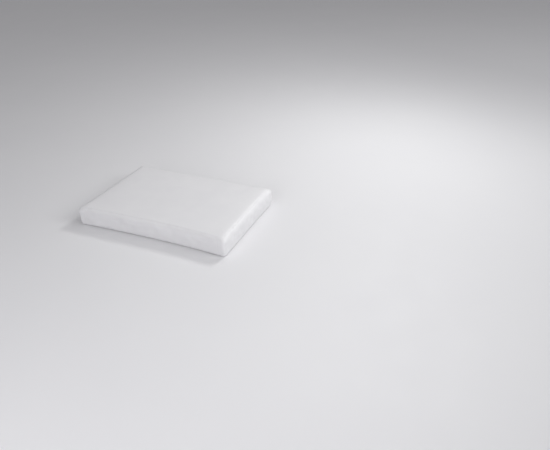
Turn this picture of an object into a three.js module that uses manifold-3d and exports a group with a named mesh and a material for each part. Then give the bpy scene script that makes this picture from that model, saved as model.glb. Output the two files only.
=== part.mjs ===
// Flat head pillow for a massage table: a foam block inside a sewn vinyl cover.
// The cover is a crowned top panel and a base panel joined by an upright boxing strip, with a seam at
// each upright corner. A coil zip runs along the rear boxing: its slider travels and its pull tab
// swings.
//
// Millimetres, +Z up. The origin is on the resting plane, under the middle of the pillow. The length
// runs along X, the depth along Y, and the zip is on the +Y side.

import * as THREE from "three";
import { mergeVertices } from "three/addons/utils/BufferGeometryUtils.js";
import Module from "manifold-3d";

const wasm = await Module();
wasm.setup();

// ---- Driving dimensions ----

const LENGTH = 353;
const DEPTH = 238;
const HEIGHT = 43;
const CORNER_RADIUS = 7;
const BASE_SEAM = 3; // height of the seam between base panel and boxing
const TOP_SEAM = 39.5; // height of the seam between boxing and top panel
const SHEET = 1.2; // vinyl on its knitted backing
const GAP = 0.3; // air between neighbouring pieces

// How the filled cover departs from a plain box.
const TOP_TUCK = 8; // the boxing rolls in this far to its top seam, from its fullest line half way up
const TOP_CURL = 6; // power of the curve that it rolls in along
const BASE_TUCK = 1.5; // and this far to its base seam
const BASE_CURL = 2.3;
const FRONT_PULL = 5; // the front is drawn in this far between its corners
const END_PULL = 1; // and each short end this far
const PULL_REACH = 28; // which fades out this far from the edge
const EDGE_ROLL = 1.5; // first rise of the top panel, close to its seam
const EDGE_ROLL_REACH = 14; // the first rise, and the base panel's fall, level off this far in
const CROWN_REACH = 60; // the top panel levels off this far from its edge

// Seams.
const SEAM_GROOVE = 1; // width of the groove that the seam thread lies in
const SEAM_ALLOWANCE = 5; // sheet turned in beyond each seam
const CORNER_SEAM_X = 158; // upright seams, on the long sides just short of the corner rounding
const THREAD = 0.5;
const STITCH_LIFT = 0.1; // air under the stitching laid on the outside

// Zip.
const ZIP_MOUTH = 10; // between the two folded edges that frame the chain
const STITCH_ROW = 3.5; // from a folded edge to its row of stitching
const END_TAB = 12; // boxing piece that closes each end of the zip
const TAPE_WIDTH = 10.6; // from the chain's middle to a tape's outer edge
const TAPE_EDGE = 1.7; // from the chain's middle to a tape's inner edge
const TAPE_THICKNESS = 0.6;
const TAPE_UNDER_TAB = 8; // the tapes run on under the end tabs
const COIL_WIDTH = 3;
const COIL_HEIGHT = 2.3;
const STOP_LENGTH = 2;
const STOP_WIDTH = 2.4;

// Slider and pull tab.
const WING_LENGTH = 11;
const WING_WIDTH = 8.8;
const WING_TAIL_WIDTH = 7.4;
const WING_THICKNESS = 1;
const RAIL_WIDTH = 1;
const NECK_WIDTH = 2.6;
const NECK_LENGTH = 3.2;
const ARCH_LENGTH = 7.4;
const ARCH_WIDTH = 2;
const ARCH_RISE = 3.5;
const ARCH_STRAP = 0.9;
const TAB_LENGTH = 23;
const TAB_WIDTH = 6.4;
const TAB_THICKNESS = 1.3;
const TAB_EYE_WIDTH = 3;

// ---- Places that follow from them ----

const BOXING = TOP_SEAM - BASE_SEAM;
const CROWN = HEIGHT - TOP_SEAM - EDGE_ROLL;
const ZIP_HEIGHT = (BASE_SEAM + TOP_SEAM) / 2;
const REAR = DEPTH / 2; // the rear boxing's outer face at its fullest line

// Depths of the layers below the cover's outer face.
const HEM_DEPTH = SHEET + GAP; // folded-back boxing
const LIP_DEPTH = HEM_DEPTH + SHEET + GAP; // turned-in panel edges, and the zip tapes
const FOAM_EDGE_DEPTH = LIP_DEPTH + SHEET + GAP; // foam, where it lies behind the turned-in edges

const BOXING_LOW = BASE_SEAM + SEAM_GROOVE / 2;
const BOXING_HIGH = TOP_SEAM - SEAM_GROOVE / 2;
const LOW_HEM_END = BASE_SEAM + SEAM_ALLOWANCE;
const HIGH_HEM_END = TOP_SEAM - SEAM_ALLOWANCE;

const LONG_EDGE = CORNER_SEAM_X - SEAM_GROOVE / 2; // the long sides' pieces end here
const SHORT_EDGE = CORNER_SEAM_X + SEAM_GROOVE / 2; // the short ends' pieces start here
const END_TAB_EDGE = CORNER_SEAM_X - END_TAB;
const CHAIN_END = END_TAB_EDGE - STOP_LENGTH - 2;

// The zip's own heights, measured outwards from the face of its tapes.
const TAPE_FACE = REAR - LIP_DEPTH;
const COIL_FOOT = 0.1;
const WING_UNDER = COIL_FOOT + COIL_HEIGHT + 0.25;
const WING_TOP = WING_UNDER + WING_THICKNESS;
const BACK_WING = -TAPE_THICKNESS - 3 * GAP; // the tapes fall away from the chain on both sides
const PIVOT_RISE = WING_TOP + 1.4;
const SLIDER_X = CHAIN_END - WING_LENGTH / 2; // the slider's middle with the zip closed

// ---- Materials ----

const vinyl = new THREE.MeshStandardMaterial({ color: 0xe4e3e6, roughness: 0.42 });
const foam = new THREE.MeshStandardMaterial({ color: 0xf1e6bd, roughness: 0.95 });
const thread = new THREE.MeshStandardMaterial({ color: 0xe9e8ea, roughness: 0.6 });
const tape = new THREE.MeshStandardMaterial({ color: 0xe2e1e4, roughness: 0.85 });
const nylon = new THREE.MeshStandardMaterial({ color: 0xebebeb, roughness: 0.35 });
const zinc = new THREE.MeshStandardMaterial({ color: 0xb9bbbf, roughness: 0.3, metalness: 1 });

// ---- Solids ----

// A closed geometry as a manifold solid.
function solidOf(geometry) {
  const bare = geometry.clone();
  bare.deleteAttribute("normal");
  bare.deleteAttribute("uv");
  const merged = mergeVertices(bare, 1e-4);
  const mesh = new wasm.Mesh({
    numProp: 3,
    vertProperties: merged.attributes.position.array,
    triVerts: new Uint32Array(merged.index.array),
  });
  return new wasm.Manifold(mesh);
}

// A manifold solid as a geometry.
function geometryOf(solid) {
  const made = solid.getMesh();
  const geometry = new THREE.BufferGeometry();
  geometry.setAttribute("position", new THREE.BufferAttribute(made.vertProperties, 3));
  geometry.setIndex(new THREE.BufferAttribute(made.triVerts, 1));
  geometry.computeVertexNormals();
  return geometry;
}

// A box between two opposite corners, given in any order.
function block(x0, y0, z0, x1, y1, z1) {
  const geometry = new THREE.BoxGeometry(Math.abs(x1 - x0), Math.abs(y1 - y0), Math.abs(z1 - z0));
  geometry.translate((x0 + x1) / 2, (y0 + y1) / 2, (z0 + z1) / 2);
  return solidOf(geometry);
}

// Everything between two heights.
function slice(z0, z1) {
  return block(-LENGTH, -DEPTH, z0, LENGTH, DEPTH, z1);
}

// An outline drawn in two of the axes and extruded along the third, from the given start.
function extruded(shape, axes, start, depth) {
  const geometry = new THREE.ExtrudeGeometry(shape, { depth, bevelEnabled: false, curveSegments: 5 });
  geometry.applyMatrix4(new THREE.Matrix4().makeBasis(...axes));
  geometry.translate(...start);
  return solidOf(geometry);
}

const X = new THREE.Vector3(1, 0, 0);
const Y = new THREE.Vector3(0, 1, 0);
const Z = new THREE.Vector3(0, 0, 1);

// An outline in Y and Z, extruded from x0 to x1.
function barAlongX(shape, x0, x1) {
  return extruded(shape, [Y, Z, X], [x0, 0, 0], x1 - x0);
}

// An outline in X and Z, extruded from y0 to y1.
function plate(shape, y0, y1) {
  return extruded(shape, [X, Z, Y.clone().negate()], [0, y1, 0], y1 - y0);
}

// A mesh for one piece, added to its group.
function add(parent, name, solid, material) {
  const mesh = new THREE.Mesh(geometryOf(solid), material);
  mesh.name = name;
  parent.add(mesh);
}

// ---- The filled form of the pillow ----

const CORNER_STEPS = 3;
const LENGTH_STEPS = 6;
const DEPTH_STEPS = 5;
const BOXING_LEVELS = [0, 0.3, 0.75, 0.9, 1]; // grid lines of the boxing, as shares of its height
const HEIGHT_STEPS = BOXING_LEVELS.length - 1;

// Grid lines from -half to half: close together in the corner zones, and wide apart between the places
// where the rolled edges level off.
function gridLines(half, corner, straightSteps) {
  const lines = [];
  const inner = half - corner;
  const level = half - EDGE_ROLL_REACH;
  for (let i = 0; i <= CORNER_STEPS; i++) lines.push(-half + (corner * i) / CORNER_STEPS);
  for (let i = 0; i <= straightSteps; i++) lines.push(-level + (2 * level * i) / straightSteps);
  for (let i = 0; i <= CORNER_STEPS; i++) lines.push(inner + (corner * i) / CORNER_STEPS);
  return lines;
}

// Rises steeply from 0 and levels off at 1 where d reaches the given distance.
function rollOff(d, reach) {
  const left = 1 - Math.min(d / reach, 1);
  return 1 - left * left;
}

// How far the boxing lies inside its fullest line, at a share of its height.
function tuckAt(level) {
  const over = Math.max(0, 2 * level - 1);
  const under = Math.max(0, 1 - 2 * level);
  return TOP_TUCK * over ** TOP_CURL + BASE_TUCK * under ** BASE_CURL;
}

// A closed body on the pillow's plan, with its sides `side` further in. Steps 0 to HEIGHT_STEPS of its
// height are the boxing's levels. heightOf gives a point's height from its step and from its distance
// to the nearest side.
function planBody(side, firstStep, lastStep, heightOf) {
  const halfX = LENGTH / 2 - side;
  const halfY = DEPTH / 2 - side;
  const corner = CORNER_RADIUS - side;
  const xLines = gridLines(halfX, corner, LENGTH_STEPS);
  const yLines = gridLines(halfY, corner, DEPTH_STEPS);
  const nx = xLines.length - 1;
  const ny = yLines.length - 1;
  const nz = lastStep - firstStep;
  const geometry = new THREE.BoxGeometry(nx, ny, nz, nx, ny, nz);
  const position = geometry.attributes.position;
  for (let i = 0; i < position.count; i++) {
    let x = xLines[Math.round(position.getX(i) + nx / 2)];
    let y = yLines[Math.round(position.getY(i) + ny / 2)];
    const step = firstStep + Math.round(position.getZ(i) + nz / 2);
    const level = BOXING_LEVELS[THREE.MathUtils.clamp(step, 0, HEIGHT_STEPS)];
    const inward = Math.min(halfX - Math.abs(x), halfY - Math.abs(y));

    // Turn each square corner zone into a quarter disc.
    const overX = Math.max(0, Math.abs(x) - (halfX - corner));
    const overY = Math.max(0, Math.abs(y) - (halfY - corner));
    const square = Math.min(overX, overY) > 1e-6;
    const round = square ? Math.max(overX, overY) / Math.hypot(overX, overY) : 1;
    const u = (x - Math.sign(x) * overX * (1 - round)) / halfX;
    const v = (y - Math.sign(y) * overY * (1 - round)) / halfY;

    // Draw the whole plan in to this level of the boxing, then the front and the short ends between
    // their corners.
    const tuck = tuckAt(level);
    const rim = Math.max(0, 1 - inward / PULL_REACH);
    const frontPull = v < 0 ? FRONT_PULL * (1 - u * u) : 0;
    x = u * (halfX - tuck) - Math.sign(u) * u * u * rim * END_PULL * (1 - v * v);
    y = v * (halfY - tuck) - Math.sign(v) * v * v * rim * frontPull;
    position.setXYZ(i, x, y, heightOf(step, inward));
  }
  return solidOf(geometry);
}

// The pillow's outer form, or the one that lies `side` inside its sides and `face` inside its top and
// base.
function cushionForm(side = 0, face = 0) {
  return planBody(side, 0, HEIGHT_STEPS, (step, inward) => {
    const z = BASE_SEAM + BOXING * BOXING_LEVELS[step];
    const rise = EDGE_ROLL * rollOff(inward, EDGE_ROLL_REACH) + CROWN * rollOff(inward, CROWN_REACH);
    if (step === HEIGHT_STEPS) return z - face + rise;
    if (step === 0) return z + face - BASE_SEAM * rollOff(inward, EDGE_ROLL_REACH);
    return z;
  });
}

// The same plan and rolled sides, run straight up and down past both seams.
function column(side) {
  return planBody(side, -1, HEIGHT_STEPS + 1, (step) => {
    if (step < 0) return -HEIGHT;
    if (step > HEIGHT_STEPS) return 2 * HEIGHT;
    return BASE_SEAM + BOXING * BOXING_LEVELS[step];
  });
}

// The upright wall between two depths below the cover's outer face.
function wall(outerDepth, innerDepth) {
  return column(outerDepth).subtract(column(innerDepth));
}

const form = cushionForm();
const skin = form.subtract(cushionForm(SHEET, SHEET));
const sheetWall = wall(0, SHEET);
const hemWall = wall(HEM_DEPTH, HEM_DEPTH + SHEET);
const foldWall = wall(0, HEM_DEPTH + SHEET); // as thick as a sheet and its hem together
const lipWall = wall(LIP_DEPTH, LIP_DEPTH + SHEET);
const tapeWall = wall(LIP_DEPTH, LIP_DEPTH + TAPE_THICKNESS);
const grooveThread = wall(SEAM_GROOVE - THREAD / 2, SEAM_GROOVE + THREAD / 2);
const outsideThread = wall(-STITCH_LIFT - THREAD, -STITCH_LIFT);

// ---- Top and base panels ----

// A panel above (+1) or below (-1) its seam: the shaped sheet, the rim that turns in under the seam,
// and the lip that lies behind the boxing.
function facePanel(seam, outwards) {
  const edge = seam + (outwards * SEAM_GROOVE) / 2;
  const rimEnd = edge + outwards * SHEET;
  const sheet = skin.intersect(slice(edge, seam + outwards * HEIGHT));
  const rim = form.subtract(column(LIP_DEPTH + SHEET)).intersect(slice(edge, rimEnd));
  const lip = lipWall.intersect(slice(seam - outwards * SEAM_ALLOWANCE, rimEnd));
  return sheet.add(rim).add(lip);
}

// ---- Boxing ----

// The boxing inside a region, with the edges that turn in along both seams.
function boxing(region) {
  const outer = sheetWall.intersect(slice(BOXING_LOW, BOXING_HIGH));
  const highFold = foldWall.intersect(slice(BOXING_HIGH - SHEET, BOXING_HIGH));
  const highHem = hemWall.intersect(slice(HIGH_HEM_END, BOXING_HIGH));
  const lowFold = foldWall.intersect(slice(BOXING_LOW, BOXING_LOW + SHEET));
  const lowHem = hemWall.intersect(slice(BOXING_LOW, LOW_HEM_END));
  return outer.add(highFold).add(highHem).add(lowFold).add(lowHem).intersect(region);
}

// The part of the space between two places along X that is on the front (-1), the rear (+1) or both
// (0) sides.
function span(x0, x1, sideY, z0 = 0, z1 = HEIGHT) {
  const y0 = sideY > 0 ? 0 : -DEPTH;
  const y1 = sideY < 0 ? 0 : DEPTH;
  return block(x0, y0, z0, x1, y1, z1);
}

// An upright edge of the boxing at x, folded back towards (+1 or -1) along X.
function uprightHem(x, towards, sideY) {
  const z0 = LOW_HEM_END + GAP;
  const z1 = HIGH_HEM_END - GAP;
  const hem = hemWall.intersect(span(x, x + towards * SEAM_ALLOWANCE, sideY, z0, z1));
  const fold = foldWall.intersect(span(x, x + towards * SHEET, sideY, z0, z1));
  return hem.add(fold);
}

// The front, between its two corner seams.
function frontBoxing() {
  const piece = boxing(span(-LONG_EDGE, LONG_EDGE, -1));
  return piece.add(uprightHem(-LONG_EDGE, 1, -1)).add(uprightHem(LONG_EDGE, -1, -1));
}

// A short end, which wraps round its two corners.
function endBoxing(side) {
  const x = side * SHORT_EDGE;
  const piece = boxing(span(x, side * LENGTH, 0));
  return piece.add(uprightHem(x, side, -1)).add(uprightHem(x, side, 1));
}

// The short piece between a rear corner seam and the end of the zip.
function rearEndTab(side) {
  const piece = boxing(span(side * END_TAB_EDGE, side * LONG_EDGE, 1));
  return piece.add(uprightHem(side * END_TAB_EDGE, side, 1));
}

// The rear boxing above (+1) or below (-1) the zip, folded under along the chain.
function rearStrip(side) {
  const x = END_TAB_EDGE - GAP;
  const fold = ZIP_HEIGHT + (side * ZIP_MOUTH) / 2;
  const seamHemEnd = side > 0 ? HIGH_HEM_END : LOW_HEM_END;
  const strip = boxing(span(-x, x, 1, fold, side > 0 ? HEIGHT : 0));
  const hem = hemWall.intersect(span(-x, x, 1, fold, seamHemEnd - side * GAP));
  const edge = foldWall.intersect(span(-x, x, 1, fold, fold + side * SHEET));
  return strip.add(hem).add(edge);
}

// ---- Foam core ----

function foamCore() {
  const core = cushionForm(LIP_DEPTH, HEM_DEPTH);
  const rim = column(-GAP).subtract(column(FOAM_EDGE_DEPTH));
  const highRim = rim.intersect(slice(HIGH_HEM_END - GAP, HEIGHT + GAP));
  const lowRim = rim.intersect(slice(-GAP, LOW_HEM_END + GAP));
  const backOfSlider = TAPE_FACE + BACK_WING - WING_THICKNESS - GAP;
  const zipRoom = block(
    -CORNER_SEAM_X,
    backOfSlider,
    LOW_HEM_END,
    CORNER_SEAM_X,
    DEPTH,
    HIGH_HEM_END,
  );
  return core.subtract(highRim).subtract(lowRim).subtract(zipRoom);
}

// ---- Threads ----

function seamThread(seam) {
  return grooveThread.intersect(slice(seam - THREAD / 2, seam + THREAD / 2));
}

function cornerThread(sideX, sideY) {
  const x = sideX * CORNER_SEAM_X;
  const r = THREAD / 2;
  const z0 = BASE_SEAM + SEAM_GROOVE;
  const z1 = TOP_SEAM - SEAM_GROOVE;
  return grooveThread.intersect(span(x - r, x + r, sideY, z0, z1));
}

// The row of stitching that holds the rear boxing and a tape together.
function zipStitching(side) {
  const x = END_TAB_EDGE - 2 * GAP;
  const z = ZIP_HEIGHT + side * (ZIP_MOUTH / 2 + STITCH_ROW);
  return outsideThread.intersect(span(-x, x, 1, z - THREAD / 2, z + THREAD / 2));
}

function endTabStitching(side) {
  const x = side * (END_TAB_EDGE + STITCH_ROW);
  const r = THREAD / 2;
  return outsideThread.intersect(span(x - r, x + r, 1, LOW_HEM_END, HIGH_HEM_END));
}

// ---- Zip ----

function zipTape(side) {
  const x = END_TAB_EDGE + TAPE_UNDER_TAB;
  const z = ZIP_HEIGHT;
  return tapeWall.intersect(span(-x, x, 1, z + side * TAPE_EDGE, z + side * TAPE_WIDTH));
}

// The room that one side's coil takes up: a bar with a rounded top, on its tape. It ends inside the
// slider, behind the neck.
function zipCoil(side) {
  const inner = (side * GAP) / 2;
  const outer = side * COIL_WIDTH;
  const middle = (inner + outer) / 2;
  const shoulder = COIL_FOOT + COIL_HEIGHT / 2;
  const top = COIL_FOOT + COIL_HEIGHT;
  const section = new THREE.Shape();
  section.moveTo(COIL_FOOT, inner);
  section.lineTo(COIL_FOOT, outer);
  section.lineTo(shoulder, outer);
  section.quadraticCurveTo(top, outer, top, middle);
  section.quadraticCurveTo(top, inner, shoulder, inner);
  section.closePath();
  const neckStart = SLIDER_X + WING_LENGTH / 2 - NECK_LENGTH - 1;
  return barAlongX(section, -CHAIN_END + GAP, neckStart - GAP).translate(0, TAPE_FACE, ZIP_HEIGHT);
}

// A stop clamped on a tape beside the chain's closed end.
function topStop(side) {
  const z0 = ZIP_HEIGHT + side * GAP;
  const z1 = z0 + side * STOP_WIDTH;
  const x0 = CHAIN_END + GAP;
  return block(x0, TAPE_FACE + GAP, z0, x0 + STOP_LENGTH, TAPE_FACE + COIL_HEIGHT, z1);
}

// The stop that holds both tapes together at the chain's open end.
function bottomStop() {
  const x1 = -CHAIN_END - GAP;
  const y1 = TAPE_FACE + COIL_HEIGHT;
  const z = ZIP_HEIGHT;
  return block(x1 - STOP_LENGTH, TAPE_FACE + GAP, z - STOP_WIDTH, x1, y1, z + STOP_WIDTH);
}

// ---- Slider ----

// A wing's outline in X and Z: wide where the open tapes enter and narrower at the tail.
function wingShape(inset) {
  const front = WING_LENGTH / 2 - inset;
  const tail = -front;
  const halfFront = WING_WIDTH / 2 - inset;
  const halfTail = WING_TAIL_WIDTH / 2 - inset;
  const soft = 1.2; // corner rounding
  const shape = new THREE.Shape();
  shape.moveTo(tail + soft, -halfTail);
  shape.lineTo(front - soft, -halfFront);
  shape.quadraticCurveTo(front, -halfFront, front, -halfFront + soft);
  shape.lineTo(front, halfFront - soft);
  shape.quadraticCurveTo(front, halfFront, front - soft, halfFront);
  shape.lineTo(tail + soft, halfTail);
  shape.quadraticCurveTo(tail, halfTail, tail, halfTail - soft);
  shape.lineTo(tail, -halfTail + soft);
  shape.quadraticCurveTo(tail, -halfTail, tail + soft, -halfTail);
  return shape;
}

// The wedge that parts the two coils, pointed towards the tail.
function neckShape() {
  const front = WING_LENGTH / 2 - 1;
  const half = NECK_WIDTH / 2;
  const shape = new THREE.Shape();
  shape.moveTo(front, -half * 0.6);
  shape.lineTo(front, half * 0.6);
  shape.lineTo(front - NECK_LENGTH * 0.45, half);
  shape.lineTo(front - NECK_LENGTH, 0);
  shape.lineTo(front - NECK_LENGTH * 0.45, -half);
  shape.closePath();
  return shape;
}

// The bridge that carries the pull tab: an arch in X and Y over the outer wing.
function archShape() {
  const half = ARCH_LENGTH / 2;
  const foot = WING_TOP - WING_THICKNESS / 2;
  const top = WING_TOP + ARCH_RISE;
  const inner = half - ARCH_STRAP;
  const under = top - ARCH_STRAP;
  const bend = 1.6;
  const shape = new THREE.Shape();
  shape.moveTo(-half, foot);
  shape.lineTo(-half, top - bend);
  shape.quadraticCurveTo(-half, top, -half + bend, top);
  shape.lineTo(half - bend, top);
  shape.quadraticCurveTo(half, top, half, top - bend);
  shape.lineTo(half, foot);
  shape.lineTo(inner, foot);
  shape.lineTo(inner, under - bend / 2);
  shape.quadraticCurveTo(inner, under, inner - bend / 2, under);
  shape.lineTo(-inner + bend / 2, under);
  shape.quadraticCurveTo(-inner, under, -inner, under - bend / 2);
  shape.lineTo(-inner, foot);
  shape.closePath();
  return shape;
}

// The slider about its own middle, with y = 0 on the face of the tapes.
function sliderBody() {
  const outerWing = plate(wingShape(0), WING_UNDER, WING_TOP);
  const backWing = plate(wingShape(0.3), BACK_WING - WING_THICKNESS, BACK_WING);
  const neck = plate(neckShape(), BACK_WING - WING_THICKNESS / 2, WING_UNDER + WING_THICKNESS / 2);
  const arch = extruded(archShape(), [X, Y, Z], [0, 0, -ARCH_WIDTH / 2], ARCH_WIDTH);
  const rims = plate(wingShape(0), GAP, WING_TOP - WING_THICKNESS / 2);
  const channelHalf = WING_WIDTH / 2 - RAIL_WIDTH;
  const channel = block(-WING_LENGTH, -1, -channelHalf, WING_LENGTH, WING_UNDER, channelHalf);
  return outerWing.add(rims.subtract(channel)).add(backWing).add(neck).add(arch);
}

// The pull tab about its pivot: a bar that turns under the arch, an eye that the arch passes through,
// and a blade that lies along the chain.
function pullTab() {
  const barHalf = TAB_THICKNESS / 2;
  const halfEye = TAB_EYE_WIDTH / 2;
  const eyeEnd = ARCH_LENGTH / 2 + 0.9;
  const halfWidth = TAB_WIDTH / 2;
  const halfNose = halfWidth - 0.7;
  const shape = new THREE.Shape();
  shape.moveTo(barHalf, -halfNose);
  shape.lineTo(barHalf, halfNose);
  shape.lineTo(-eyeEnd, halfNose);
  shape.lineTo(-eyeEnd - 2.5, halfWidth);
  shape.lineTo(-TAB_LENGTH + 2, halfWidth);
  shape.quadraticCurveTo(-TAB_LENGTH, halfWidth, -TAB_LENGTH, halfWidth - 2);
  shape.lineTo(-TAB_LENGTH, -halfWidth + 2);
  shape.quadraticCurveTo(-TAB_LENGTH, -halfWidth, -TAB_LENGTH + 2, -halfWidth);
  shape.lineTo(-eyeEnd - 2.5, -halfWidth);
  shape.lineTo(-eyeEnd, -halfNose);
  shape.closePath();
  const eye = new THREE.Path();
  eye.moveTo(-barHalf, -halfEye);
  eye.lineTo(-eyeEnd, -halfEye);
  eye.lineTo(-eyeEnd, halfEye);
  eye.lineTo(-barHalf, halfEye);
  eye.closePath();
  shape.holes.push(eye);
  return plate(shape, -TAB_THICKNESS / 2, TAB_THICKNESS / 2);
}

// ---- Assembly ----

const pillow = new THREE.Group();

add(pillow, "foam_core", foamCore(), foam);
add(pillow, "top_panel", facePanel(TOP_SEAM, 1), vinyl);
add(pillow, "base_panel", facePanel(BASE_SEAM, -1), vinyl);
add(pillow, "front_boxing", frontBoxing(), vinyl);
add(pillow, "top_seam_thread", seamThread(TOP_SEAM), thread);
add(pillow, "base_seam_thread", seamThread(BASE_SEAM), thread);

for (const [hand, side] of [["left", -1], ["right", 1]]) {
  add(pillow, `${hand}_boxing`, endBoxing(side), vinyl);
  add(pillow, `corner_thread_front_${hand}`, cornerThread(side, -1), thread);
  add(pillow, `corner_thread_rear_${hand}`, cornerThread(side, 1), thread);
  add(pillow, `rear_end_tab_${hand}`, rearEndTab(side), vinyl);
  add(pillow, `end_tab_stitching_${hand}`, endTabStitching(side), thread);
}

for (const [place, side] of [["upper", 1], ["lower", -1]]) {
  add(pillow, `rear_boxing_${place}`, rearStrip(side), vinyl);
  add(pillow, `zip_stitching_${place}`, zipStitching(side), thread);
  add(pillow, `zip_tape_${place}`, zipTape(side), tape);
  add(pillow, `zip_coil_${place}`, zipCoil(side), nylon);
  add(pillow, `zip_top_stop_${place}`, topStop(side), zinc);
}
add(pillow, "zip_bottom_stop", bottomStop(), zinc);

const slider = new THREE.Group();
slider.position.set(SLIDER_X, TAPE_FACE, ZIP_HEIGHT);
add(slider, "zip_slider", sliderBody(), zinc);
pillow.add(slider);

const tab = new THREE.Group();
tab.position.set(0, PIVOT_RISE, 0);
add(tab, "zip_pull_tab", pullTab(), zinc);
slider.add(tab);

export default pillow;
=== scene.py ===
"""Flat massage-table pillow: a foam block in a sewn vinyl cover, with a coil zip along the rear.

Lengths are millimetres until a mesh is made, where MM turns them into metres. The sheet that the cover
is sewn from is followed piece by piece: each panel and boxing strip is a grid of points on its outer
face, its edges turn in at the seams, and a Solidify modifier gives it its thickness.
"""

import math

import bmesh
import bpy
import numpy as np
from mathutils import Matrix, Vector
from mathutils.kdtree import KDTree


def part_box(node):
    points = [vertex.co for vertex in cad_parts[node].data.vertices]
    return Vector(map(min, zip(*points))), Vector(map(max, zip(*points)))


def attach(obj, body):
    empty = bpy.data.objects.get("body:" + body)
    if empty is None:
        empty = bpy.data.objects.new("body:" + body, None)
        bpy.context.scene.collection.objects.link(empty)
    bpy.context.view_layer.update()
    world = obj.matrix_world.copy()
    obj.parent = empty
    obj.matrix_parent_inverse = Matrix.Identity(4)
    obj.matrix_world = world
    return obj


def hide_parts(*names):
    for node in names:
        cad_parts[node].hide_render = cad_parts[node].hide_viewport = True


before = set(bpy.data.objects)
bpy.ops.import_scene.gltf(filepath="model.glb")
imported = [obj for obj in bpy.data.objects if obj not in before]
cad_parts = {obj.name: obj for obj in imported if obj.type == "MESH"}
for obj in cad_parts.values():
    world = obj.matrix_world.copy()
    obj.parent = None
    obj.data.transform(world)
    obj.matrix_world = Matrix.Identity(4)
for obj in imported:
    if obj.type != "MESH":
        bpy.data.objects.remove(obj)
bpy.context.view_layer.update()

MM = 0.001


# ---------------------------------------------------------------- sizes, from the frame

def box_mm(node):
    lo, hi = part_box(node)
    return np.array(lo) / MM, np.array(hi) / MM


def middle_mm(node):
    lo, hi = box_mm(node)
    return (lo + hi) / 2


HALF_X = box_mm("right_boxing")[1][0]
HALF_Y = box_mm("rear_end_tab_left")[1][1]
TOP = box_mm("top_panel")[1][2]
TOP_SEAM = middle_mm("top_seam_thread")[2]
BASE_SEAM = middle_mm("base_seam_thread")[2]
CORNER_SEAM_X = middle_mm("corner_thread_rear_right")[0]
END_TAB_EDGE = box_mm("rear_end_tab_right")[0][0]
ZIP_Z = middle_mm("zip_slider")[2]
ZIP_FOLD = box_mm("rear_boxing_upper")[0][2] - ZIP_Z
ZIP_STITCH = middle_mm("zip_stitching_upper")[2] - ZIP_Z
TAB_STITCH_X = middle_mm("end_tab_stitching_right")[0]

THREAD_INSET = 0.75  # how deep in its groove a seam thread of the frame lies
TOP_TUCK = HALF_X - box_mm("top_seam_thread")[1][0] - THREAD_INSET
BASE_TUCK = HALF_X - box_mm("base_seam_thread")[1][0] - THREAD_INSET
TOP_CURL = 6.0  # powers of the curves that the boxing rolls in along, from half way up to each seam
BASE_CURL = 2.3
RADIUS = 7.0  # plan radius of the corners
DRAW_REACH = 40.0  # the panels are drawn in with the boxing this far from their edge
FRONT_PULL = 5.2  # the front is drawn in between its corners
END_PULL = 1.0
SHEET = 0.6  # vinyl thickness
BOXING_ROLL = 0.6  # how far up the face the boxing's folded edge rolls over
UPRIGHT_ROLL = 0.5  # the same at the tighter upright seams
PANEL_ROLL = 0.65  # and a panel's folded edge
TOP_SLOPE = math.radians(23)  # how steeply each panel leaves its folded edge
BASE_SLOPE = math.radians(14)
SEAM_HALF_GAP = 0.04
SEAM_DIP = 0.3  # depth of the furrow along a seam
EDGE_PUFF = 3.4  # how far in from its edge the top panel turns level
BASE_REACH = 22.0  # and the base panel lies flat
LIP = 4.7  # sheet turned in beyond a seam
HEM_DEPTH = 2.7  # depth of the inner face of a folded-back boxing edge
SEAM_ALLOWANCE = 5.0  # width of the layers turned in behind the boxing
LIP_DEPTH = 3.0  # depth of the outer face of a panel's turned-in lip
LIP_BEND = 0.5  # radius of the bend from a panel's fold down into its lip
HEM_BEND = 1.1  # radius of the bend from the boxing's fold into its hem

STRAIGHT_X = 2 * (HALF_X - RADIUS)
STRAIGHT_Y = 2 * (HALF_Y - RADIUS)
ARC = math.pi / 2 * RADIUS
PERIMETER = 2 * (STRAIGHT_X + STRAIGHT_Y) + 4 * ARC


# ---------------------------------------------------------------- the cushion's outer form

def outline(s):
    """Points and outward normals of the plan outline, s along it from the middle of the front towards
    the right, seen from the front."""
    s = np.mod(s, PERIMETER)
    x, y = np.zeros_like(s), np.zeros_like(s)
    nx, ny = np.zeros_like(s), np.zeros_like(s)
    run = -STRAIGHT_X / 2
    sides = ((0, STRAIGHT_X), (90, STRAIGHT_Y), (180, STRAIGHT_X), (270, STRAIGHT_Y))
    for turn, length in sides:
        a = math.radians(turn)
        along = np.array((math.cos(a), math.sin(a)))
        out = np.array((math.sin(a), -math.cos(a)))
        reach = HALF_Y if turn in (0, 180) else HALF_X
        for start in (run, run + PERIMETER):
            d = s - start
            on = (d >= 0) & (d < length)
            x[on] = (along[0] * (d - length / 2) + out[0] * reach)[on]
            y[on] = (along[1] * (d - length / 2) + out[1] * reach)[on]
            nx[on], ny[on] = out
            d = d - length
            on = (d >= 0) & (d < ARC)
            b = d / RADIUS
            centre = along * length / 2 + out * (reach - RADIUS)
            px = out[0] * np.cos(b) + along[0] * np.sin(b)
            py = out[1] * np.cos(b) + along[1] * np.sin(b)
            x[on] = (centre[0] + RADIUS * px)[on]
            y[on] = (centre[1] + RADIUS * py)[on]
            nx[on], ny[on] = px[on], py[on]
        run += length + ARC
    return x, y, nx, ny


def pull(x, y, inward):
    """How plan points move as the front and the short ends are drawn in between their corners."""
    u = np.clip(x / HALF_X, -1, 1)
    v = np.clip(y / HALF_Y, -1, 1)
    rim = np.clip(1 - inward / DRAW_REACH, 0, 1) ** 2
    belly = (1 - u ** 2) * (1 + 0.25 * u)
    dx = -np.sign(u) * u ** 2 * rim * END_PULL * (1 - v ** 2)
    dy = v ** 2 * rim * np.where(v < 0, FRONT_PULL * belly, 0)
    return dx, dy


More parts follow.
